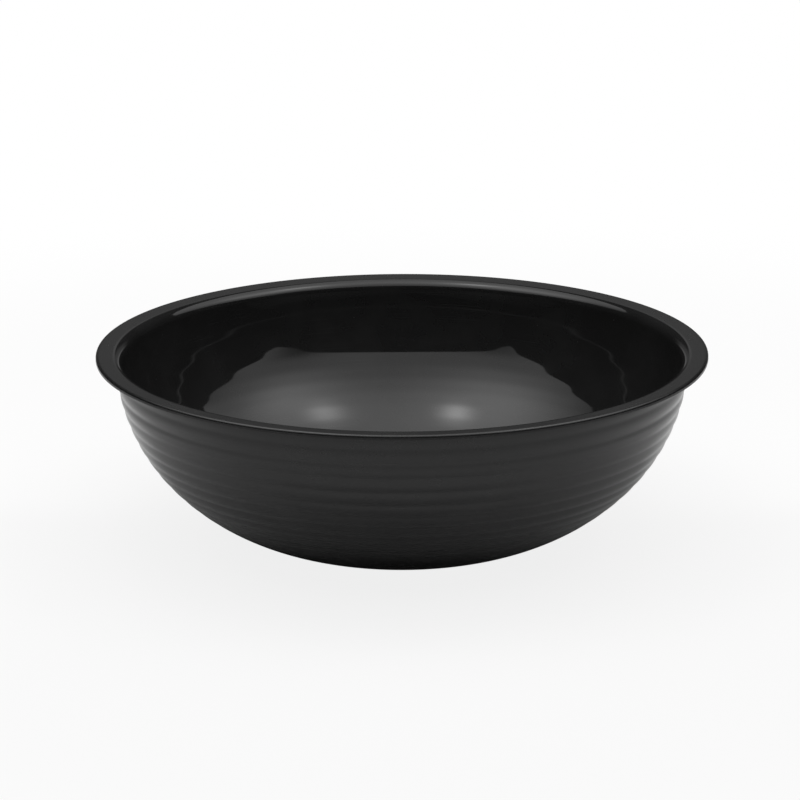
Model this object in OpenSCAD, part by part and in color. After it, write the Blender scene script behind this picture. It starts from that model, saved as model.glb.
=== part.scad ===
// Ribbed round mixing bowl: one moulding, turned from a single closed section.
// Millimetres, +Z up, with the origin at the centre of the foot ring's contact plane.

/* [Overall] */
// Outside diameter of the rim
rim_d = 381; // [330:1:440]
// Height from the foot ring's contact plane to the top of the rim
height = 121; // [100:1:145]
// Outside diameter of the foot ring
foot_d = 142; // [110:1:180]

/* [Rim] */
// Overhang of the rim beyond the outside of the wall
rim_w = 12.2; // [8:0.2:18]
// Thickness of the rim
rim_t = 2.9; // [1.8:0.1:3.6]
// Rise of the rim towards its outer edge, in degrees
rim_rise = 4.4; // [0:0.2:9]
// Radius of the round on the outer top edge of the rim
lip_r = 0.9; // [0.4:0.1:1.4]
// Radius of the bead where the rim turns down into the bowl
bead_r = 6.5; // [2:0.1:7.5]
// Radius of the cove between the wall and the underside of the rim
cove_r = 1.2; // [0.5:0.1:3]

/* [Wall] */
// Thickness of the wall and of the floor
wall_t = 4.2; // [2.2:0.1:5]
// Lean of the wall from vertical where it leaves the rim, in degrees
draft = 1; // [0:0.5:10]
// Lean of the wall from vertical where the side arc turns into the heel arc, in degrees
heel_lean = 43; // [36:1:52]
// Lean of the wall from vertical where it meets the foot ring, in degrees
foot_lean = 80; // [72:1:86]
// Radius of the blend between the inside of the wall and the flat floor
floor_r = 40; // [15:1:60]

/* [Ribs] */
// Spacing of the rib valleys, measured down the wall
rib_pitch = 9.8; // [7:0.1:11]
// Number of rib valleys
rib_count = 11; // [3:1:12]
// Depth of a full valley below the crests of the ribs
rib_depth = 0.6; // [0.2:0.05:0.9]
// Half the width of the round at the bottom of a valley
crease_w = 1.2; // [0.3:0.1:2]
// Distance down the wall from the rim to the first valley
rib_start = 8.8; // [8:0.2:16]
// Number of valleys below the rim over which the ribs gain their full depth
rib_lead = 1; // [0:1:4]
// Number of valleys above the heel over which the ribs fade out
rib_fade = 4; // [0:1:6]
// Height of the ripple that follows each valley on the inside of the wall
ripple_h = 0.03; // [0:0.01:0.3]
// Distance down the wall from a valley to the crest of its ripple
ripple_lag = 3.6; // [0:0.1:9]

/* [Foot] */
// Height of the foot ring below the floor
foot_h = 0.8; // [0.4:0.1:2.5]
// Width of the foot ring where it joins the floor
foot_w = 6; // [4:0.5:12]
// Side slope of the foot ring, in degrees from vertical
foot_draft = 20; // [2:1:40]
// Diameter of the moulding gate's dimple under the floor
gate_d = 14; // [6:1:30]
// Depth of the gate's dimple
gate_h = 0.5; // [0.2:0.1:1]

/* [Hidden] */

// Facets round the bowl
$fn = 180;
// Points on each flank of a rib valley
flank_n = 4;
// Points on each small round of the rim
round_n = 6;
// Steps down the plain wall below the ribs
plain_n = 20;

rim_r = rim_d / 2;
foot_r = foot_d / 2;
neck_r = rim_r - rim_w;

// The land is the rim's upper face and runs up to the lip round, whose top is the bowl's highest point.
// The land and the underside are parallel lines in the section, at these distances along their normal.
lip_c = [rim_r - lip_r, height - lip_r];
land_normal = [-sin(rim_rise), cos(rim_rise)];
land_at = lip_c * land_normal + lip_r;
under_at = land_at - rim_t;

// Height of the rim's underside at a radius
function under_z(r) = (under_at + r * sin(rim_rise)) / cos(rim_rise);

// Outward direction of a wall that leans by an angle
function outward(angle) = [cos(angle), -sin(angle)];

// The wall's crests follow two arcs that are tangent to each other. The side arc leaves the rim's neck
// at the draft angle, and the heel arc runs in to the foot ring. Their radii follow from the two ends.
neck = [neck_r, under_z(neck_r)];
heel_end = [foot_r, foot_h];
side_turn = outward(draft) - outward(heel_lean);
heel_turn = outward(heel_lean) - outward(foot_lean);
arc_det = cross(side_turn, heel_turn);
side_r = cross(neck - heel_end, heel_turn) / arc_det;
heel_r = cross(side_turn, neck - heel_end) / arc_det;
side_c = neck - side_r * outward(draft);
heel_c = heel_end - heel_r * outward(foot_lean);

// Lengths along the crests, measured down from the rim
function arc_len(r, angle) = r * angle * PI / 180;
side_len = arc_len(side_r, heel_lean - draft);
wall_len = side_len + arc_len(heel_r, foot_lean - heel_lean);

// Lean of the wall from vertical at a length down the wall
function lean(s) =
    s < side_len
        ? draft + s / arc_len(side_r, 1)
        : heel_lean + (s - side_len) / arc_len(heel_r, 1);

// Point of the section at a length down the wall, moved outward from the crests by a distance
function wall_point(s, out) =
    s < side_len
        ? side_c + (side_r + out) * outward(lean(s))
        : heel_c + (heel_r + out) * outward(lean(s));

// Number of the valley nearest to a length down the wall, and the distance to its crease in rib pitches
function valley_no(s) = round((s - rib_start) / rib_pitch);
function from_crease(s) = abs(s - rib_start - valley_no(s) * rib_pitch) / rib_pitch;

// Share of the full depth that the nearest valley has, which is less towards each end of the ribs
function share(s) =
    let (k = valley_no(s))
    k < 0 || k >= rib_count
        ? 0
        : min(1, (k + 1) / (rib_lead + 1), (rib_count - k) / (rib_fade + 1));

// Outside, each rib is a round band between two creases. Inside, a soft wave follows it further down.
crease = crease_w / rib_pitch;
function flank(away) = pow(max(0, 1 - 2 * away), 2);
function valley(s) = rib_depth * share(s) * flank(norm([from_crease(s), crease])) / flank(crease);
function wave(s) = share(s) * (1 + cos(360 * from_crease(s))) / 2;
function ripple(s) = ripple_h * wave(s - ripple_lag);

// Lean of the wall where a round of the given radius touches both a wall arc and a line of the rim
function touch_lean(wall_r, round_r, line_at) =
    asin((side_c * land_normal - line_at + round_r) / (wall_r + round_r)) - rim_rise;

cove_lean = touch_lean(side_r, cove_r, under_at);
bead_lean = touch_lean(side_r - wall_t, bead_r, land_at);

// Points of an arc about a centre, from one angle to another
function arc(centre, r, from, to, n) =
    [for (i = [0 : n]) let (a = from + (to - from) * i / n) centre + r * [cos(a), sin(a)]];

// Lengths down the wall at which the section has points, between two ends that have points of their own
rib_step = rib_pitch / (2 * flank_n);
rib_first = -floor(rib_start / rib_step);
rib_last = (2 * rib_count - 1) * flank_n;
rib_s = [for (i = [rib_first : rib_last]) rib_start + i * rib_step];
rib_end = rib_start + rib_last * rib_step;
function between(from, to, n) = [for (i = [1 : n - 1]) from + (to - from) * i / n];
function wall_s(from, to) =
    concat([for (s = rib_s) if (s > from + rib_step / 2) s], between(rib_end, to, plain_n));

rim_turn = 90 + rim_rise;
cove_c = side_c + (side_r + cove_r) * outward(cove_lean);
cove_s = arc_len(side_r, cove_lean - draft);
bead_c = side_c + (side_r - wall_t + bead_r) * outward(bead_lean);
bead_s = arc_len(side_r, bead_lean - draft);

// The floor's blend touches the flat floor and the inside of the heel arc.
floor_z = foot_h + wall_t;
blend_gap = heel_r - wall_t - floor_r;
blend_lean = asin((heel_c[1] - floor_z - floor_r) / blend_gap);
blend_c = heel_c + blend_gap * outward(blend_lean);
blend_s = side_len + arc_len(heel_r, blend_lean - heel_lean);

// Outside of the section, from the lip down to the foot ring
lip = arc(lip_c, lip_r, rim_turn, 0, round_n);
lip_edge = [[rim_r, under_z(rim_r)]];
cove = arc(cove_c, cove_r, rim_turn, 180 - cove_lean, round_n);
outside = [for (s = wall_s(cove_s, wall_len)) wall_point(s, -valley(s))];

// Foot ring and the underside of the floor, in to the axis
foot_in = foot_h * tan(foot_draft);
foot = [
    heel_end,
    [foot_r - foot_in, 0],
    [foot_r - foot_w + foot_in, 0],
    [foot_r - foot_w, foot_h]
];
gate = [
    [gate_d / 2, foot_h],
    [gate_d / 2, foot_h + gate_h],
    [0, foot_h + gate_h]
];

// Inside of the section, from the bead down to the middle of the floor
bead = arc(bead_c, bead_r, rim_turn, 180 - bead_lean, round_n);
inside = [for (s = wall_s(bead_s, blend_s)) wall_point(s, -wall_t - ripple(s))];
blend = arc(blend_c, floor_r, -blend_lean, -90, round_n);
floor_mid = [[0, floor_z]];

outer_half = concat(lip, lip_edge, cove, outside, foot, gate);
inner_half = concat(bead, inside, blend, floor_mid);

module bowl() {
    color([0.07, 0.07, 0.07])
        rotate_extrude()
            polygon(concat(outer_half, [for (i = [len(inner_half) - 1 : -1 : 0]) inner_half[i]]));
}

bowl();
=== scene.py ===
"""Black ribbed mixing bowl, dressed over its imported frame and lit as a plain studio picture."""

import logging
import math
from collections.abc import Callable, Sequence
from dataclasses import dataclass
from enum import IntEnum
from functools import cached_property
from itertools import pairwise

import bmesh
import bpy
from bmesh.types import BMesh, BMFace, BMVert
from bpy.types import Material, Node, NodeSocket, NodeTree, Object
from mathutils import Matrix, Vector


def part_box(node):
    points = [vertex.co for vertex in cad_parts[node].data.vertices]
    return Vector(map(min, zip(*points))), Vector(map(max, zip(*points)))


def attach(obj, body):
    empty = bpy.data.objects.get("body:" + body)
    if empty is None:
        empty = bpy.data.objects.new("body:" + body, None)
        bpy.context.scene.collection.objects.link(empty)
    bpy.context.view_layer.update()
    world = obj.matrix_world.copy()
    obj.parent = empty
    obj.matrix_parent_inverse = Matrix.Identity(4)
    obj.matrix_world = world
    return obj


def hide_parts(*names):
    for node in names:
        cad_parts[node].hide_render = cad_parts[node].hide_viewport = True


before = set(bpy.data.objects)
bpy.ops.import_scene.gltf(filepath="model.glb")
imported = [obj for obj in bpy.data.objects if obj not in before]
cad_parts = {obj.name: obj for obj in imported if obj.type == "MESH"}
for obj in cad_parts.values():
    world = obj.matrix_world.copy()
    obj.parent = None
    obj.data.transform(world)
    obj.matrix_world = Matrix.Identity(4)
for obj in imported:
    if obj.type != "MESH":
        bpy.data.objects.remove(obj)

LOG = logging.getLogger("bowl")
NODE = "bowl"
BODY = "root"

Feed = NodeSocket | float | tuple[float, float, float]


def outward(lean: float) -> Vector:
    """Outward direction, as (radius, height), of a wall that leans by an angle from vertical."""
    return Vector((math.cos(lean), -math.sin(lean)))


class Zone(IntEnum):
    """Areas of the moulding that have a finish of their own, numbered as its material slots."""

    POLISHED = 0
    LAND = 1
    SATIN = 2
    UNDERSIDE = 3


@dataclass(frozen=True)
class Section:
    """Half section that the bowl is turned from.

    Lengths are in metres, angles in radians, and points are (radius, height). The wall's crests
    follow a side arc below the rim and a heel arc that runs in to the foot ring. The lip is softer
    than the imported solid's: its round is fuller, and the face below the round leans in.
    """

    rim_radius: float
    height: float
    rim_overhang: float = 0.0122
    rim_thickness: float = 0.0029
    rim_rise: float = math.radians(4.4)
    lip_round: float = 0.0014
    lip_lean: float = math.radians(2)
    bead_round: float = 0.0065
    cove_round: float = 0.0012
    wall: float = 0.0042
    draft: float = math.radians(1)
    heel_lean: float = math.radians(43)
    foot_lean: float = math.radians(80)
    floor_blend: float = 0.040
    foot_radius: float = 0.071
    foot_height: float = 0.0008
    foot_width: float = 0.006
    foot_draft: float = math.radians(20)
    gate_radius: float = 0.007
    gate_depth: float = 0.0005
    rib_pitch: float = 0.0098
    rib_count: int = 11
    rib_depth: float = 0.0006
    crease_round: float = 0.0012
    rib_start: float = 0.0088
    rib_lead: int = 1
    rib_fade: int = 4
    ripple: float = 0.00003
    ripple_lag: float = 0.0036

    @classmethod
    def from_frame(cls) -> "Section":
        """Takes the rim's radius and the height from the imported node."""
        low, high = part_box(NODE)
        return cls(rim_radius=(high[0] - low[0]) / 2, height=high[2] - low[2])

    @cached_property
    def lip_corner(self) -> Vector:
        """Centre that the lip's round would have over an upright face."""
        return Vector((self.rim_radius - self.lip_round, self.height - self.lip_round))

    @cached_property
    def lip_centre(self) -> Vector:
        """Centre of the lip's round.

        Returns:
            The centre, drawn in along the land by the lean of the face below the round.
        """
        face = self.lip_corner.y - self.under_rim(self.rim_radius).y
        rise = face + self.lip_round * math.sin(self.lip_lean)
        inset = rise * math.tan(self.lip_lean) - self.lip_round * (1.0 - math.cos(self.lip_lean))
        return self.lip_corner - Vector((inset, inset * math.tan(self.rim_rise)))

    @cached_property
    def face_top(self) -> Vector:
        """Point where the lip's outer face meets the round."""
        return self.lip_centre + self.lip_round * outward(-self.lip_lean)

    @cached_property
    def land_normal(self) -> Vector:
        """Upward direction of the rim's flat land."""
        return Vector((-math.sin(self.rim_rise), math.cos(self.rim_rise)))

    @cached_property
    def land_at(self) -> float:
        """Distance of the land's line along its normal."""
        return self.lip_corner.dot(self.land_normal) + self.lip_round

    @cached_property
    def under_at(self) -> float:
        """Distance of the rim's underside along the land's normal."""
        return self.land_at - self.rim_thickness

    def under_rim(self, radius: float) -> Vector:
        """Point of the rim's underside at a radius."""
        height = (self.under_at + radius * math.sin(self.rim_rise)) / math.cos(self.rim_rise)
        return Vector((radius, height))

    @cached_property
    def neck(self) -> Vector:
        """Point where the wall's outside would meet the rim's underside without the cove."""
        return self.under_rim(self.rim_radius - self.rim_overhang)

    @cached_property
    def heel_end(self) -> Vector:
        """Point where the wall's outside meets the foot ring."""
        return Vector((self.foot_radius, self.foot_height))

    @cached_property
    def arc_radii(self) -> tuple[float, float]:
        """Radii of the wall's two arcs, solved from their ends.

        Returns:
            The radii of the side and heel arcs, which are tangent where they meet.
        """
        span = self.neck - self.heel_end
        side_turn = outward(self.draft) - outward(self.heel_lean)
        heel_turn = outward(self.heel_lean) - outward(self.foot_lean)
        area = side_turn.cross(heel_turn)
        return span.cross(heel_turn) / area, side_turn.cross(span) / area

    @cached_property
    def side_centre(self) -> Vector:
        """Centre of the side arc."""
        return self.neck - self.arc_radii[0] * outward(self.draft)

    @cached_property
    def heel_centre(self) -> Vector:
        """Centre of the heel arc."""
        return self.heel_end - self.arc_radii[1] * outward(self.foot_lean)

    @cached_property
    def side_length(self) -> float:
        """Length of the side arc, measured down the crests from the rim."""
        return self.arc_radii[0] * (self.heel_lean - self.draft)

    def touch_lean(self, wall_radius: float, round_radius: float, line_at: float) -> float:
        """Lean of the wall where a small round touches it and a line of the rim.

        Args:
            wall_radius: Radius of the wall's arc about the side centre.
            round_radius: Radius of the small round.
            line_at: Distance of the line along the land's normal.

        Returns:
            The lean from vertical, in radians.
        """
        rise = self.side_centre.dot(self.land_normal) - line_at + round_radius
        return math.asin(rise / (wall_radius + round_radius)) - self.rim_rise

    @cached_property
    def cove_lean(self) -> float:
        """Lean of the wall's outside where the cove under the rim leaves it."""
        return self.touch_lean(self.arc_radii[0], self.cove_round, self.under_at)

    @cached_property
    def cove_centre(self) -> Vector:
        """Centre of the cove between the wall and the rim's underside."""
        return self.side_centre + (self.arc_radii[0] + self.cove_round) * outward(self.cove_lean)

    @cached_property
    def bead_lean(self) -> float:
        """Lean of the wall's inside where the bead meets it."""
        return self.touch_lean(self.arc_radii[0] - self.wall, self.bead_round, self.land_at)

    @cached_property
    def bead_centre(self) -> Vector:
        """Centre of the bead between the land and the inside of the wall."""
        reach = self.arc_radii[0] - self.wall + self.bead_round
        return self.side_centre + reach * outward(self.bead_lean)

    @cached_property
    def land_edge(self) -> Vector:
        """Point where the land meets the bead."""
        return self.bead_centre + self.bead_round * self.land_normal

    @cached_property
    def floor_height(self) -> float:
        """Height of the flat floor inside."""
        return self.foot_height + self.wall

    @cached_property
    def blend_gap(self) -> float:
        """Distance between the centres of the heel arc and of the floor's blend."""
        return self.arc_radii[1] - self.wall - self.floor_blend

    @cached_property
    def blend_lean(self) -> float:
        """Lean of the inside wall where the floor's blend starts."""
        drop = self.heel_centre.y - self.floor_height - self.floor_blend
        return math.asin(drop / self.blend_gap)

    @cached_property
    def blend_centre(self) -> Vector:
        """Centre of the blend between the inside of the heel arc and the floor."""
        return self.heel_centre + self.blend_gap * outward(self.blend_lean)

    def length_at(self, lean: float) -> float:
        """Length down the crests at which the wall has a lean.

        Args:
            lean: Lean from vertical, in radians.

        Returns:
            The length from the rim.
        """
        side, heel = self.arc_radii
        if lean < self.heel_lean:
            return side * (lean - self.draft)
        return self.side_length + heel * (lean - self.heel_lean)

    def lean_at(self, length: float) -> float:
        """Lean of the wall at a length down the crests.

        Args:
            length: Length from the rim.

        Returns:
            The lean from vertical, in radians.
        """
        side, heel = self.arc_radii
        if length < self.side_length:
            return self.draft + length / side
        return self.heel_lean + (length - self.side_length) / heel

    def lean_of(self, point: Vector) -> float:
        """Lean of the wall at a point of its inside or outside."""
        lean = self.lean_about(self.side_centre, point)
        return lean if lean <= self.heel_lean else self.lean_about(self.heel_centre, point)

    @staticmethod
    def lean_about(centre: Vector, point: Vector) -> float:
        """Lean of an arc about a centre at a point of it."""
        arm = point - centre
        return math.asin(-arm.y / arm.length)

    def valley_number(self, length: float) -> int:
        """Number of the rib valley nearest to a length down the wall."""
        return math.floor((length - self.rib_start) / self.rib_pitch + 0.5)

    def from_crease(self, length: float) -> float:
        """Distance from the nearest valley's crease, in rib pitches."""
        crease = self.rib_start + self.valley_number(length) * self.rib_pitch
        return abs(length - crease) / self.rib_pitch

    def share(self, length: float) -> float:
        """Share of the full depth that the nearest valley has.

        Args:
            length: Length down the wall.

        Returns:
            The share, which the ribs gain below the rim and lose above the heel by steps.
        """
        valley = self.valley_number(length)
        if not 0 <= valley < self.rib_count:
            return 0.0
        gained = (valley + 1) / (self.rib_lead + 1)
        left = (self.rib_count - valley) / (self.rib_fade + 1)
        return min(1.0, gained, left)

    @staticmethod
    def flank(away: float) -> float:
        """Share of a sharp valley's depth at a distance from its crease, in rib pitches."""
        return max(0.0, 1.0 - 2.0 * away) ** 2

    def valley_depth(self, length: float) -> float:
        """Depth of the outside below the crests, with the crease itself rounded.

        Args:
            length: Length down the wall.

        Returns:
            The depth.
        """
        crease = self.crease_round / self.rib_pitch
        away = math.hypot(self.from_crease(length), crease)
        return self.rib_depth * self.share(length) * self.flank(away) / self.flank(crease)

    def ripple_height(self, length: float) -> float:
        """Height of the soft wave on the inside of the wall.

        Args:
            length: Length down the wall.

        Returns:
            The height, whose peaks follow the valleys a little further down.
        """
        valley = length - self.ripple_lag
        wave = (1.0 + math.cos(math.tau * self.from_crease(valley))) / 2.0
        return self.ripple * self.share(valley) * wave

    def stations(self, start: float, end: float) -> list[float]:
        """Lengths down the wall between which it is drawn arc by arc.

        Args:
            start: Length down the wall at the upper end.
            end: Length down the wall at the lower end.

        Returns:
            The two ends, the join of the two arcs, and every crest and crease between.
        """
        half = self.rib_pitch / 2.0
        marks = [self.rib_start + half * step for step in range(-1, 2 * self.rib_count)]
        inner = [mark for mark in (*marks, self.side_length) if start < mark < end]
        return [start, *sorted(inner), end]


class SectionPen:
    """Draws a line in the XZ plane of a bmesh, one operator for each stroke."""

    def __init__(self, mesh: BMesh, start: Vector) -> None:
        """Sets the pen down at a point of the section."""
        self.mesh = mesh
        self.tip: BMVert = mesh.verts.new((start.x, 0.0, start.y))

    def line(self, end: Vector, steps: int) -> BMVert:
        """Draws a straight stroke.

        Args:
            end: Point of the section where the stroke ends.
            steps: Number of equal edges.

        Returns:
            The vertex at the end.
        """
        start = Vector((self.tip.co.x, self.tip.co.z))
        for step in range(1, steps + 1):
            point = start.lerp(end, step / steps)
            drawn = bmesh.ops.extrude_vert_indiv(self.mesh, verts=[self.tip])
            self.tip = drawn["verts"][0]
            self.tip.co = (point.x, 0.0, point.y)
        return self.tip

    def arc(self, centre: Vector, turn: float, steps: int) -> list[BMVert]:
        """Draws an arc about a centre.

        Args:
            centre: Centre of the arc in the section.
            turn: Angle of the arc, positive anticlockwise with the radius to the right.
            steps: Number of edges.

        Returns:
            The arc's new vertices, in order.
        """
        bmesh.ops.spin(
            self.mesh,
            geom=[self.tip],
            cent=(centre.x, 0.0, centre.y),
            axis=(0.0, -1.0, 0.0),
            angle=turn,
            steps=steps,
        )
        drawn = []
        for _ in range(steps):
            self.tip = self.tip.link_edges[-1].other_vert(self.tip)
            drawn.append(self.tip)
        return drawn


@dataclass(frozen=True)
class Bowl:
    """The one-piece moulding, turned from its section."""

    section: Section
    spin_steps: int = 180
    wall_step: float = 0.0008
    inside_step: float = 0.0012
    round_steps: int = 10
    blend_steps: int = 16
    flat_steps: int = 8
    edge_round: float = 0.0003
    edge_steps: int = 3
    merge_distance: float = 1e-7
    facing_up: float = 0.05
    facing_in: float = -0.2

    def build(self, finishes: "FinishSet") -> Object:
        """Makes the bowl, gives it its finishes and puts it in the frame.

        Args:
            finishes: The materials, in the order of the zones.

        Returns:
            The finished object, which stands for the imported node.
        """
        data = bpy.data.meshes.new("mixing_bowl")
        mesh = self._turn()
        mesh.to_mesh(data)
        mesh.free()
        piece = bpy.data.objects.new("mixing_bowl", data)
        bpy.context.scene.collection.objects.link(piece)
        for zone in Zone:
            data.materials.append(finishes.material(zone))
        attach(piece, BODY)
        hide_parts(NODE)
        return piece

    def _turn(self) -> BMesh:
        """Turns the section round the axis.

        Returns:
            The bowl's bmesh, with each face marked with its zone.
        """
        mesh = bmesh.new()
        self._draw_section(mesh)
        bmesh.ops.spin(
            mesh,
            geom=[*mesh.verts, *mesh.edges],
            cent=(0.0, 0.0, 0.0),
            axis=(0.0, 0.0, 1.0),
            angle=math.tau,
            steps=self.spin_steps,
            use_merge=True,
        )
        bmesh.ops.remove_doubles(mesh, verts=mesh.verts, dist=self.merge_distance)
        bmesh.ops.recalc_face_normals(mesh, faces=mesh.faces)
        for face in mesh.faces:
            face.smooth = True
            face.material_index = self._zone(face)
        return mesh

    def _draw_section(self, mesh: BMesh) -> None:
        """Draws the section from the axis below, round the outside and the rim, to the axis inside.

        Args:
            mesh: The bmesh to draw in.
        """
        section = self.section
        pen = SectionPen(mesh, Vector((0.0, section.foot_height + section.gate_depth)))
        edges = self._draw_foot(pen)
        self._draw_outside(pen)
        edges.append(self._draw_rim(pen))
        self._draw_inside(pen)
        for edge in edges:
            bmesh.ops.bevel(
                mesh,
                geom=[edge],
                offset=self.edge_round,
                offset_type="OFFSET",
                segments=self.edge_steps,
                profile=0.5,
                affect="VERTICES",
                material=-1,
            )

    def _draw_foot(self, pen: SectionPen) -> list[BMVert]:
        """Draws the gate, the recess and the foot ring.

        Args:
            pen: The pen, on the axis at the top of the gate's dimple.

        Returns:
            The foot ring's corners to round.
        """
        section = self.section
        draft = section.foot_height * math.tan(section.foot_draft)
        inner = section.foot_radius - section.foot_width
        corners = [
            Vector((section.gate_radius, section.foot_height + section.gate_depth)),
            Vector((section.gate_radius, section.foot_height)),
            Vector((inner, section.foot_height)),
            Vector((inner + draft, 0.0)),
            Vector((section.foot_radius - draft, 0.0)),
            section.heel_end,
        ]
        drawn = [pen.line(corner, self.flat_steps) for corner in corners]
        return drawn[2:-1]

    def _draw_wall(self, pen: SectionPen, lengths: list[float], step: float) -> list[BMVert]:
        """Draws the wall's arcs from the pen's tip.

        Args:
            pen: The pen, at the first of the lengths.
            lengths: Lengths down the wall where one arc ends and the next begins.
            step: Greatest length of an edge.

        Returns:
            The wall's new vertices, in order.
        """
        section = self.section
        drawn = []
        for start, end in pairwise(lengths):
            middle = (start + end) / 2.0
            on_side = middle < section.side_length
            centre = section.side_centre if on_side else section.heel_centre
            turn = section.lean_at(start) - section.lean_at(end)
            drawn += pen.arc(centre, turn, max(1, math.ceil(abs(end - start) / step)))
        return drawn

    def _draw_outside(self, pen: SectionPen) -> None:
        """Draws the outside of the wall upwards, and presses the rib valleys into it.

        Args:
            pen: The pen, at the foot ring's outer edge.
        """
        section = self.section
        top = section.length_at(section.cove_lean)
        lengths = section.stations(top, section.length_at(section.foot_lean))
        drawn = self._draw_wall(pen, lengths[::-1], self.wall_step)
        self._press(drawn, section.valley_depth)

    def _draw_rim(self, pen: SectionPen) -> BMVert:
        """Draws the cove, the rim's underside, the lip, the land and the bead.

        Args:
            pen: The pen, where the wall's outside meets the cove.

        Returns:
            The lip's lower edge, which is to be rounded.
        """
        section = self.section
        rim_turn = math.pi / 2.0 + section.rim_rise
        pen.arc(section.cove_centre, rim_turn - math.pi + section.cove_lean, self.round_steps)
        edge = pen.line(section.under_rim(section.rim_radius), self.flat_steps)
        pen.line(section.face_top, self.flat_steps)
        pen.arc(section.lip_centre, rim_turn - section.lip_lean, self.round_steps)
        pen.line(section.land_edge, self.flat_steps)
        pen.arc(section.bead_centre, math.pi - section.bead_lean - rim_turn, self.round_steps)
        return edge

    def _draw_inside(self, pen: SectionPen) -> None:
        """Draws the inside of the wall downwards with its ripples, the blend and the floor.

        Args:
            pen: The pen, where the bead meets the wall's inside.
        """
        section = self.section
        top = section.length_at(section.bead_lean)
        bottom = section.length_at(section.blend_lean)
        drawn = self._draw_wall(pen, section.stations(top, bottom), self.inside_step)
        self._press(drawn, section.ripple_height)
        pen.arc(section.blend_centre, section.blend_lean - math.pi / 2.0, self.blend_steps)
        pen.line(Vector((0.0, section.floor_height)), self.flat_steps)

    def _press(self, drawn: list[BMVert], depth: Callable[[float], float]) -> None:
        """Moves wall vertices in towards the axis.

        Args:
            drawn: The vertices, on the wall's arcs.
            depth: Depth of the move at a length down the wall.
        """
        section = self.section
        for vertex in drawn:
            lean = section.lean_of(Vector((vertex.co.x, vertex.co.z)))
            inward = -depth(section.length_at(lean)) * outward(lean)
            vertex.co.x += inward.x
            vertex.co.z += inward.y

    def _zone(self, face: BMFace) -> Zone:
        """Zone of the moulding that a face belongs to.

        Args:
            face: A face of the turned bowl.

        Returns:
            The zone, from where the face lies and which way it faces.
        """
        centre = face.calc_center_median()
        radius = centre.xy.length
        radial = Vector((centre.x, centre.y, 0.0)).normalized()
        if face.normal.z > self.facing_up and radius > self.section.land_edge.x:
            return Zone.LAND
        if face.normal.z > self.facing_up or face.normal.dot(radial) < self.facing_in:
            return Zone.POLISHED
        return Zone.UNDERSIDE if radius < self.section.foot_radius else Zone.SATIN


@dataclass(frozen=True)
class Step:
    """Smooth step: the values where it starts and ends, and the level at each end."""

    low: float
    high: float
    start: float = 0.0
    end: float = 1.0


@dataclass(frozen=True)
class Noise:
    """Settings of a noise texture."""

    scale: float
    detail: float
    roughness: float = 0.5


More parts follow.
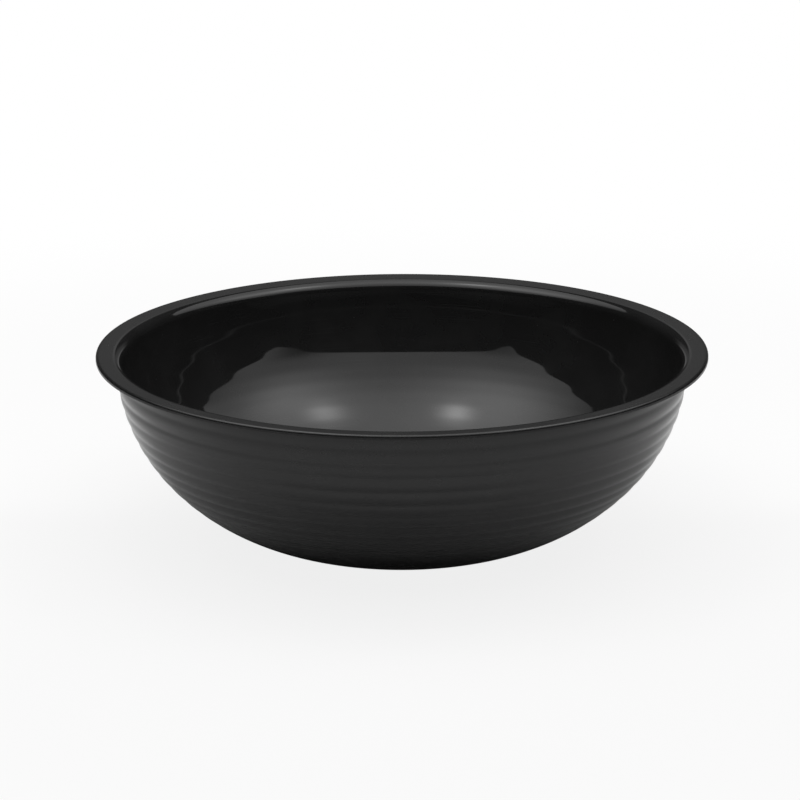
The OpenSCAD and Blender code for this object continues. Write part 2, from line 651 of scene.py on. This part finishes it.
class NodeBench:
    """Adds nodes to one shader tree and links them."""

    def __init__(self, tree: NodeTree) -> None:
        """Starts on a tree."""
        self.tree = tree

    def node(self, kind: str, **settings: object) -> Node:
        """Adds a node.

        Args:
            kind: Type of the node.
            **settings: Its properties.

        Returns:
            The node.
        """
        made = self.tree.nodes.new(kind)
        for name, value in settings.items():
            setattr(made, name, value)
        return made

    def feed(self, socket: NodeSocket, value: Feed) -> None:
        """Links an output to an input, or sets the input to a constant.

        Args:
            socket: The input.
            value: The output or the constant.
        """
        if isinstance(value, NodeSocket):
            self.tree.links.new(value, socket)
        else:
            socket.default_value = value

    def fill(self, made: Node, values: Sequence[Feed]) -> Node:
        """Feeds a node's first inputs in order.

        Args:
            made: The node.
            values: The outputs or constants.

        Returns:
            The node.
        """
        for socket, value in zip(made.inputs, values):
            self.feed(socket, value)
        return made

    def maths(self, operation: str, *values: Feed) -> NodeSocket:
        """Adds a math node and returns its output."""
        return self.fill(self.node("ShaderNodeMath", operation=operation), values).outputs["Value"]

    def vector_maths(self, operation: str, *values: Feed) -> Node:
        """Adds a vector math node and returns it."""
        return self.fill(self.node("ShaderNodeVectorMath", operation=operation), values)

    def axes(self, vector: NodeSocket) -> tuple[NodeSocket, NodeSocket, NodeSocket]:
        """Splits a vector into its X, Y and Z."""
        made = self.fill(self.node("ShaderNodeSeparateXYZ"), [vector])
        return made.outputs["X"], made.outputs["Y"], made.outputs["Z"]

    def ramp(self, value: NodeSocket, step: Step) -> NodeSocket:
        """Takes a value through a smooth step.

        Args:
            value: The output to map.
            step: The step.

        Returns:
            The mapped output.
        """
        made = self.node("ShaderNodeMapRange", interpolation_type="SMOOTHSTEP")
        names = ("Value", "From Min", "From Max", "To Min", "To Max")
        for name, setting in zip(names, (value, step.low, step.high, step.start, step.end)):
            self.feed(made.inputs[name], setting)
        return made.outputs["Result"]

    def noise(self, place: NodeSocket, noise: Noise) -> NodeSocket:
        """Adds a noise texture.

        Args:
            place: Where the texture is read.
            noise: Its settings.

        Returns:
            The texture's value.
        """
        made = self.node("ShaderNodeTexNoise")
        names = ("Vector", "Scale", "Detail", "Roughness")
        for name, setting in zip(names, (place, noise.scale, noise.detail, noise.roughness)):
            self.feed(made.inputs[name], setting)
        return made.outputs["Fac"]

    def stretched(self, place: NodeSocket, scale: tuple[float, float, float]) -> NodeSocket:
        """Scales a place along each axis.

        Args:
            place: The place.
            scale: The factor for each axis.

        Returns:
            The scaled place.
        """
        made = self.node("ShaderNodeMapping")
        self.feed(made.inputs["Vector"], place)
        self.feed(made.inputs["Scale"], scale)
        return made.outputs["Vector"]

    def rays(self, *kinds: str) -> NodeSocket:
        """Masks the rays of some kinds.

        Args:
            *kinds: Names of the light path's outputs.

        Returns:
            The mask.
        """
        path = self.node("ShaderNodeLightPath")
        mask = path.outputs[kinds[0]]
        for kind in kinds[1:]:
            mask = self.maths("MAXIMUM", mask, path.outputs[kind])
        return mask

    def blend(self, share: NodeSocket, first: NodeSocket, second: NodeSocket) -> NodeSocket:
        """Blends two values, with the second one's share."""
        return self.maths("MULTIPLY_ADD", share, self.maths("SUBTRACT", second, first), first)

    def mix(self, share: NodeSocket, first: NodeSocket, second: NodeSocket) -> NodeSocket:
        """Mixes two shaders, with the second one's share."""
        made = self.fill(self.node("ShaderNodeMixShader"), (share, first, second))
        return made.outputs["Shader"]

    def glow(self, strength: NodeSocket) -> NodeSocket:
        """Adds a white emission shader.

        Args:
            strength: Its strength.

        Returns:
            The shader.
        """
        made = self.node("ShaderNodeEmission")
        self.feed(made.inputs["Strength"], strength)
        return made.outputs["Emission"]

    def clear(self) -> NodeSocket:
        """Adds a see-through shader."""
        return self.node("ShaderNodeBsdfTransparent").outputs["BSDF"]

    def from_behind(self) -> NodeSocket:
        """Masks the back of each face."""
        return self.node("ShaderNodeNewGeometry").outputs["Backfacing"]

    def surface(self, shader: NodeSocket) -> None:
        """Makes a shader the material's surface."""
        self.feed(self.node("ShaderNodeOutputMaterial").inputs["Surface"], shader)


class EffectGroup:
    """Shader node group that turns a place on the bowl into a mask or a height."""

    name = ""
    output = "Mask"

    def __init__(self) -> None:
        """Makes the group's tree."""
        self.tree = bpy.data.node_groups.new(self.name, "ShaderNodeTree")
        sockets = self.tree.interface
        sockets.new_socket("Place", in_out="INPUT", socket_type="NodeSocketVector")
        sockets.new_socket(self.output, in_out="OUTPUT", socket_type="NodeSocketFloat")
        bench = NodeBench(self.tree)
        place = bench.node("NodeGroupInput").outputs["Place"]
        result = bench.node("NodeGroupOutput").inputs[self.output]
        bench.feed(result, self.compose(bench, place))

    def compose(self, bench: NodeBench, place: NodeSocket) -> NodeSocket:
        """Builds the effect.

        Args:
            bench: Bench on the group's tree.
            place: Place on the bowl, in its object's coordinates.

        Returns:
            The effect's value.
        """
        raise NotImplementedError

    def on(self, bench: NodeBench, place: NodeSocket) -> NodeSocket:
        """Uses the group in a material.

        Args:
            bench: Bench on the material's tree.
            place: Place on the bowl.

        Returns:
            The group's output.
        """
        made = bench.node("ShaderNodeGroup", node_tree=self.tree)
        bench.feed(made.inputs["Place"], place)
        return made.outputs[self.output]


class MouldGrain(EffectGroup):
    """Fine spark-eroded grain of the mould's outer half."""

    name = "mould_grain"
    output = "Height"
    fine = Noise(2400.0, 2.0)
    broad = Noise(520.0, 3.0)
    fine_share = 0.6

    def compose(self, bench: NodeBench, place: NodeSocket) -> NodeSocket:
        """Mixes two sizes of noise."""
        broad = bench.maths("MULTIPLY", bench.noise(place, self.broad), 1.0 - self.fine_share)
        return bench.maths("MULTIPLY_ADD", bench.noise(place, self.fine), self.fine_share, broad)


class HandScuffs(EffectGroup):
    """Faint hairlines that stirring and wiping leave round the bowl."""

    name = "hand_scuffs"
    drawn_out = (14.0, 14.0, 1900.0)
    lines = Noise(1.0, 2.0)
    peaks = Step(0.62, 0.72)
    patches = Noise(23.0, 2.0)
    broken = Step(0.45, 0.7)

    def compose(self, bench: NodeBench, place: NodeSocket) -> NodeSocket:
        """Keeps the peaks of a noise drawn out round the bowl, in broken patches.

        Args:
            bench: Bench on the group's tree.
            place: Place on the bowl.

        Returns:
            The mask.
        """
        lines = bench.noise(bench.stretched(place, self.drawn_out), self.lines)
        patches = bench.ramp(bench.noise(place, self.patches), self.broken)
        return bench.maths("MULTIPLY", bench.ramp(lines, self.peaks), patches)


class Smudges(EffectGroup):
    """Broad uneven sheen left by handling and wiping."""

    name = "smudges"
    cloud = Noise(34.0, 4.0, 0.6)
    upper = Step(0.38, 0.72)

    def compose(self, bench: NodeBench, place: NodeSocket) -> NodeSocket:
        """Keeps the upper part of a soft noise."""
        return bench.ramp(bench.noise(place, self.cloud), self.upper)


class DustSpecks(EffectGroup):
    """Sparse specks of dust."""

    name = "dust_specks"
    cells_per_metre = 310.0
    spot = Step(0.05, 0.11, 1.0, 0.0)
    bare_share = 0.985

    def compose(self, bench: NodeBench, place: NodeSocket) -> NodeSocket:
        """Keeps the middles of a few cells.

        Args:
            bench: Bench on the group's tree.
            place: Place on the bowl.

        Returns:
            The mask.
        """
        cells = bench.node("ShaderNodeTexVoronoi", feature="F1")
        bench.feed(cells.inputs["Vector"], place)
        bench.feed(cells.inputs["Scale"], self.cells_per_metre)
        chance = bench.node("ShaderNodeSeparateColor")
        bench.feed(chance.inputs["Color"], cells.outputs["Color"])
        kept = bench.maths("GREATER_THAN", chance.outputs["Red"], self.bare_share)
        return bench.maths("MULTIPLY", bench.ramp(cells.outputs["Distance"], self.spot), kept)


@dataclass(frozen=True)
class Finish:
    """One finish of the black plastic, with how much of each effect it shows.

    The roughness grows by the amounts of scuffs, smudges and dust where they lie. The lifts say how
    far the same effects raise the near-black colour, as shares of it. The grain is the height, in
    metres, of the mould's texture.
    """

    name: str
    colour: float
    roughness: float
    scuffs: float
    smudges: float
    dust: float = 0.3
    scuff_lift: float = 0.6
    smudge_lift: float = 0.25
    dust_lift: float = 1.5
    grain: float = 0.0
    ior: float = 1.49

    def material(self, effects: dict[str, EffectGroup]) -> Material:
        """Builds the finish's material.

        Args:
            effects: The shared effect groups, by name.

        Returns:
            The material.
        """
        made = bpy.data.materials.new(self.name)
        made.use_nodes = True
        bench = NodeBench(made.node_tree)
        surface = made.node_tree.nodes["Principled BSDF"]
        place = bench.node("ShaderNodeTexCoord").outputs["Object"]
        wear = ("hand_scuffs", "smudges", "dust_specks")
        masks = [effects[name].on(bench, place) for name in wear]
        lifts = (self.scuff_lift, self.smudge_lift, self.dust_lift)
        tone = self._tone(bench, self._raised(bench, 1.0, masks, lifts))
        amounts = (self.scuffs, self.smudges, self.dust)
        roughness = self._raised(bench, self.roughness, masks, amounts)
        bench.feed(surface.inputs["IOR"], self.ior)
        bench.feed(surface.inputs["Base Color"], tone)
        bench.feed(surface.inputs["Roughness"], roughness)
        if self.grain:
            bump = bench.node("ShaderNodeBump")
            bench.feed(bump.inputs["Height"], effects["mould_grain"].on(bench, place))
            bench.feed(bump.inputs["Strength"], 1.0)
            bench.feed(bump.inputs["Distance"], self.grain)
            bench.feed(surface.inputs["Normal"], bump.outputs["Normal"])
        return made

    @staticmethod
    def _raised(
        bench: NodeBench, level: Feed, masks: Sequence[NodeSocket], amounts: Sequence[float]
    ) -> NodeSocket:
        """Raises a level by an amount where each mask is.

        Args:
            bench: Bench on the material's tree.
            level: The level without the masks.
            masks: The masks.
            amounts: The amount for each mask.

        Returns:
            The raised level.
        """
        for mask, amount in zip(masks, amounts, strict=True):
            level = bench.maths("MULTIPLY_ADD", mask, amount, level)
        return level

    def _tone(self, bench: NodeBench, lift: NodeSocket) -> NodeSocket:
        """Makes the base colour.

        Args:
            bench: Bench on the material's tree.
            lift: Factor on the near-black.

        Returns:
            The colour.
        """
        value = bench.maths("MULTIPLY", lift, self.colour)
        made = bench.node("ShaderNodeCombineColor")
        for channel in ("Red", "Green", "Blue"):
            bench.feed(made.inputs[channel], value)
        return made.outputs["Color"]


class FinishSet:
    """The bowl's materials, one for each zone."""

    FINISHES = {
        Zone.POLISHED: Finish(
            "polished_black", colour=0.013, roughness=0.04, scuffs=0.08, smudges=0.02
        ),
        Zone.LAND: Finish(
            "rim_land_black", colour=0.012, roughness=0.24, scuffs=0.06, smudges=0.04, grain=2e-5
        ),
        Zone.SATIN: Finish(
            "satin_black", colour=0.012, roughness=0.16, scuffs=0.06, smudges=0.05, grain=2e-5
        ),
        Zone.UNDERSIDE: Finish(
            "underside_black", colour=0.006, roughness=0.38, scuffs=0.15, smudges=0.08, grain=4e-5
        ),
    }

    def __init__(self) -> None:
        """Makes the shared effects and the materials."""
        groups: list[EffectGroup] = [MouldGrain(), HandScuffs(), Smudges(), DustSpecks()]
        effects = {group.name: group for group in groups}
        self._materials = {zone: finish.material(effects) for zone, finish in self.FINISHES.items()}

    def material(self, zone: Zone) -> Material:
        """Material of a zone."""
        return self._materials[zone]


def lay_sheet(name: str, finish: str, corners: Sequence[Vector]) -> tuple[Object, NodeBench]:
    """Lays a flat sheet of the stage.

    Args:
        name: Name of the sheet.
        finish: Name of its material.
        corners: Its two front and two back corners, left to right.

    Returns:
        The sheet, and a bench on its material, which is still empty.
    """
    mesh = bmesh.new()
    bmesh.ops.create_grid(mesh, x_segments=1, y_segments=1, size=0.5)
    for vertex, corner in zip(mesh.verts, corners, strict=True):
        vertex.co = corner
    data = bpy.data.meshes.new(name)
    mesh.to_mesh(data)
    mesh.free()
    sheet = bpy.data.objects.new(name, data)
    bpy.context.scene.collection.objects.link(sheet)
    made = bpy.data.materials.new(finish)
    made.use_nodes = True
    made.node_tree.nodes.clear()
    data.materials.append(made)
    return sheet, NodeBench(made.node_tree)


@dataclass(frozen=True)
class Floor:
    """Pale floor that keeps the bowl's shadow for the camera, and ends like a table in reflections.

    Distances are in metres from the bowl's axis, and y runs away from the camera. For the camera,
    white covers most of the lit floor near the bowl and all of it far off. In reflections, an even
    grey covers the lit floor beside and behind the bowl and far off, and there is no floor past its
    end, which lies nearer beside and behind the bowl. From below the floor is clear, and a hatch
    under the foot ring lets light in to the underside. The floor's own colour is darker in front of
    the bowl and close beside it than further beside and behind it. This is painted shade, which
    dims the floor that the bowl mirrors.
    """

    reach: float = 7.0
    white_share: Step = Step(0.25, 0.9, 0.85, 1.0)
    behind: Step = Step(-0.3, 0.0)
    grey_beside: Step = Step(0.25, 0.5, 0.0, 0.65)
    grey_far: Step = Step(0.5, 0.9, 0.012, 0.8)
    grey: float = 0.5
    # Painted shade: the floor's colour is 0.765 in front of the bowl and close beside it, and white
    # further beside and behind it.
    unshaded_beside: Step = Step(0.19, 0.36)
    unshaded_behind: Step = Step(-0.02, 0.1)
    colour: Step = Step(0.0, 1.0, 0.765, 1.0)
    end: Step = Step(0.7, 0.9)
    end_nearer: float = 0.15
    hatch: Step = Step(0.067, 0.069, 1.0, 0.0)

    def build(self) -> None:
        """Lays the floor and gives it its material."""
        corners = [Vector((self.reach * x, self.reach * y, 0.0)) for y in (-1, 1) for x in (-1, 1)]
        _, bench = lay_sheet("floor", "pale_floor", corners)
        place = bench.node("ShaderNodeTexCoord").outputs["Object"]
        distance = bench.vector_maths("LENGTH", place).outputs["Value"]
        _, y, _ = bench.axes(place)
        behind = bench.ramp(y, self.behind)
        camera = bench.rays("Is Camera Ray")
        mirrored = bench.rays("Is Glossy Ray", "Is Transmission Ray")

        # Painted shade on the floor in front of and close beside the bowl, which the bowl mirrors.
        beside = bench.maths("MULTIPLY", behind, bench.ramp(distance, self.unshaded_beside))
        unshaded = bench.maths("MAXIMUM", beside, bench.ramp(y, self.unshaded_behind))
        matt = bench.node("ShaderNodeBsdfDiffuse")
        bench.feed(matt.inputs["Color"], bench.ramp(unshaded, self.colour))

        white_share = bench.maths("MULTIPLY", camera, bench.ramp(distance, self.white_share))
        beside = bench.maths("MULTIPLY", behind, bench.ramp(distance, self.grey_beside))
        grey = bench.maths("MAXIMUM", bench.ramp(distance, self.grey_far), beside)
        share = bench.maths("MAXIMUM", white_share, bench.maths("MULTIPLY", mirrored, grey))
        white = bench.glow(bench.ramp(camera, Step(0.0, 1.0, self.grey, 1.0)))

        reach = bench.maths("MULTIPLY_ADD", behind, self.end_nearer, distance)
        past_end = bench.maths("MULTIPLY", mirrored, bench.ramp(reach, self.end))
        opening = bench.maths("MAXIMUM", bench.ramp(distance, self.hatch), past_end)
        opening = bench.maths("MAXIMUM", bench.from_behind(), opening)
        top = bench.mix(share, matt.outputs["BSDF"], white)
        bench.surface(bench.mix(opening, top, bench.clear()))


@dataclass(frozen=True)
class Patch:
    """Soft bell-shaped patch of the light panel, brighter than the rest or, below zero, dimmer."""

    x: float
    y: float
    spread_x: float
    spread_y: float
    radiance: float

    def shine(self, bench: NodeBench, place: NodeSocket) -> NodeSocket:
        """Adds the patch to the panel's material.

        Args:
            bench: Bench on the panel's material.
            place: Place on the panel.

        Returns:
            What the patch adds to the radiance.
        """
        offset = bench.vector_maths("SUBTRACT", place, (self.x, self.y, 0.0)).outputs["Vector"]
        flat = bench.stretched(offset, (1.0 / self.spread_x, 1.0 / self.spread_y, 0.0))
        square = bench.vector_maths("DOT_PRODUCT", flat, flat).outputs["Value"]
        bell = bench.maths("EXPONENT", bench.maths("MULTIPLY", square, -0.5))
        return bench.maths("MULTIPLY", bell, self.radiance)


@dataclass(frozen=True)
class LightPanel:
    """Overhead diffuser panel that shines downwards, with two lamps behind it and dim corners.

    The corners are (x, y), first the two in front and then the two behind, left to right.
    """

    height: float = 0.9
    corners: tuple[tuple[float, float], ...] = (
        (-1.35, -1.01),
        (1.72, -0.955),
        (-1.2, 0.73),
        (1.47, 0.84),
    )
    radiance: float = 0.87
    patches: tuple[Patch, ...] = (
        Patch(-0.397, -0.028, 0.308, 0.284, 1.72),
        Patch(0.543, -0.009, 0.264, 0.26, 1.58),
        Patch(-0.222, -0.002, 0.048, 0.062, 3.5),
        Patch(0.329, 0.026, 0.064, 0.066, 2.5),
        Patch(1.25, -1.05, 0.3, 0.3, -0.7),
        Patch(-1.2, -1.05, 0.35, 0.22, -0.45),
        Patch(-1.35, 0.85, 0.4, 0.4, -0.6),
        Patch(1.6, 0.55, 0.3, 0.4, -0.4),
    )

    def build(self) -> None:
        """Hangs the panel and gives it its material."""
        corners = [Vector((x, y, self.height)) for x, y in self.corners]
        panel, bench = lay_sheet("light_panel", "lit_diffuser", corners)
        panel.visible_camera = False
        place = bench.node("ShaderNodeTexCoord").outputs["Object"]
        strength: Feed = self.radiance
        for patch in self.patches:
            strength = bench.maths("ADD", strength, patch.shine(bench, place))
        bench.surface(bench.mix(bench.from_behind(), bench.clear(), bench.glow(strength)))


@dataclass(frozen=True)
class Room:
    """Dim room that the bowl mirrors, white where the camera sees past the floor.

    A direction's x, y and z are those of a unit vector, with y away from the camera. Towards the
    back there is a narrow backdrop, brighter higher up, with a low horizon on either side of it.
    Light from steeply below is for the underside, which it reaches through the floor's hatch.
    """

    back: Step = Step(0.0, 0.6)
    backdrop_edge: Step = Step(0.05, 0.085)
    backdrop: Step = Step(0.09, 0.3, 0.0, 0.25)
    horizon: Step = Step(0.04, 0.14, 0.25, 0.12)
    horizon_top: Step = Step(0.18, 0.28, 1.0, 0.0)
    horizon_end: Step = Step(0.3, 0.5, 1.0, 0.0)
    below: Step = Step(-0.7, -0.4, 0.6, 0.008)

    def build(self) -> None:
        """Makes the world."""
        world = bpy.data.worlds.new("studio_room")
        bpy.context.scene.world = world
        world.use_nodes = True
        world.node_tree.nodes.clear()
        bench = NodeBench(world.node_tree)
        x, y, z = bench.axes(bench.node("ShaderNodeTexCoord").outputs["Generated"])
        across = bench.maths("ABSOLUTE", x)
        horizon = bench.ramp(z, self.horizon)
        for limit in (bench.ramp(across, self.horizon_end), bench.ramp(z, self.horizon_top)):
            horizon = bench.maths("MULTIPLY", horizon, limit)
        aside = bench.ramp(across, self.backdrop_edge)
        far_side = bench.blend(aside, bench.ramp(z, self.backdrop), horizon)
        below = bench.ramp(z, self.below)
        dim = bench.maths("MULTIPLY_ADD", bench.ramp(y, self.back), far_side, below)
        level = bench.maths("MAXIMUM", dim, bench.rays("Is Camera Ray"))
        sky = bench.node("ShaderNodeBackground")
        bench.feed(sky.inputs["Strength"], level)
        bench.feed(bench.node("ShaderNodeOutputWorld").inputs["Surface"], sky.outputs["Background"])


@dataclass(frozen=True)
class Camera:
    """Long lens, a little above the rim, aimed a little below the middle of the rim.

    The middle of the rim is taken at its depth below the bowl's highest point.
    """

    bowl_height: float
    rim_depth: float = 0.0008
    distance: float = 2.1167
    elevation: float = math.radians(15.33)
    drop: float = math.radians(0.862)
    yaw: float = math.radians(0.0372)
    roll: float = math.radians(-0.165)
    lens: float = 152.7
    clip_end: float = 100.0

    def build(self) -> None:
        """Makes the camera and sets it as the scene's."""
        data = bpy.data.cameras.new("camera")
        data.lens = self.lens
        data.clip_end = self.clip_end
        camera = bpy.data.objects.new("camera", data)
        bpy.context.scene.collection.objects.link(camera)
        rim_centre = Vector((0.0, 0.0, self.bowl_height - self.rim_depth))
        back = Vector((0.0, -math.cos(self.elevation), math.sin(self.elevation)))
        camera.location = rim_centre + self.distance * back
        pitch = math.pi / 2.0 - self.elevation - self.drop
        turn = Matrix.Rotation(self.yaw, 3, "Z") @ Matrix.Rotation(pitch, 3, "X")
        camera.rotation_euler = (turn @ Matrix.Rotation(self.roll, 3, "Z")).to_euler()
        bpy.context.scene.camera = camera


@dataclass(frozen=True)
class Studio:
    """The picture's stage."""

    camera: Camera
    floor: Floor = Floor()
    panel: LightPanel = LightPanel()
    room: Room = Room()

    def build(self) -> None:
        """Sets up the floor, the light, the room and the camera."""
        bpy.context.scene.view_settings.view_transform = "Standard"
        for piece in (self.floor, self.panel, self.room, self.camera):
            piece.build()


def main() -> None:
    """Builds the bowl and its studio."""
    logging.basicConfig(level=logging.INFO, format="%(name)s: %(message)s")
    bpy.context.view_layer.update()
    section = Section.from_frame()
    bowl = Bowl(section).build(FinishSet())
    LOG.info("%s: %d faces", bowl.name, len(bowl.data.polygons))
    Studio(Camera(section.height)).build()


if __name__ == "__main__":
    main()
